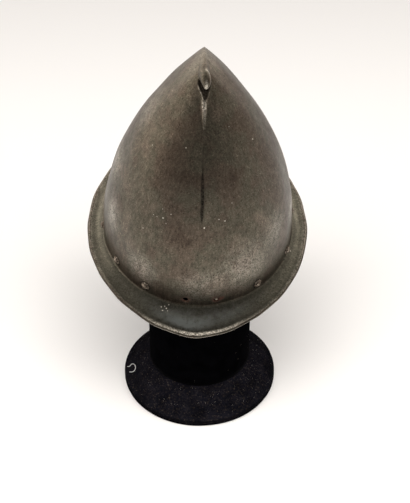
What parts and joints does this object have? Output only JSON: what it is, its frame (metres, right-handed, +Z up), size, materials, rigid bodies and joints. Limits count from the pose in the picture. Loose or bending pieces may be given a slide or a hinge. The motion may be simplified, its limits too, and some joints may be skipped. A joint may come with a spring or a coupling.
{
  "type": "cabasset on a display stand",
  "caption": "Open steel helmet with an almond-shaped keeled skull, a short backward stalk and a narrow pointed brim, resting on a round velvet-covered stand.",
  "frame": {"origin": "on the floor under the middle of the stand", "axes": "+Z up, -Y the helmet's back, towards which the stalk points, +X its right side"},
  "size_m": [0.2238, 0.2844, 0.4239],
  "materials": {
    "patinated_steel": "forged, worn smooth, dark brown-grey patina",
    "rivet_steel": "forged, brown with rust in the edges",
    "velvet": "black short-pile velvet"
  },
  "bodies": {
    "root": {"helmet_shell": "patinated_steel", "lining_rivet_01": "rivet_steel", "lining_rivet_02": "rivet_steel", "lining_rivet_03": "rivet_steel", "lining_rivet_04": "rivet_steel", "lining_rivet_05": "rivet_steel", "lining_rivet_06": "rivet_steel", "lining_rivet_07": "rivet_steel", "lining_rivet_08": "rivet_steel", "lining_rivet_09": "rivet_steel", "lining_rivet_10": "rivet_steel", "lining_rivet_11": "rivet_steel", "lining_rivet_12": "rivet_steel", "lining_rivet_13": "rivet_steel", "rosette_washer_02": "rivet_steel", "rosette_washer_03": "rivet_steel", "rosette_washer_04": "rivet_steel", "rosette_washer_05": "rivet_steel", "rosette_washer_06": "rivet_steel", "rosette_washer_07": "rivet_steel", "rosette_washer_08": "rivet_steel", "rosette_washer_09": "rivet_steel", "rosette_washer_10": "rivet_steel", "rosette_washer_11": "rivet_steel", "rosette_washer_12": "rivet_steel", "rosette_washer_13": "rivet_steel", "stand_base": "velvet", "stand_column": "velvet"}
  },
  "joints": []
}
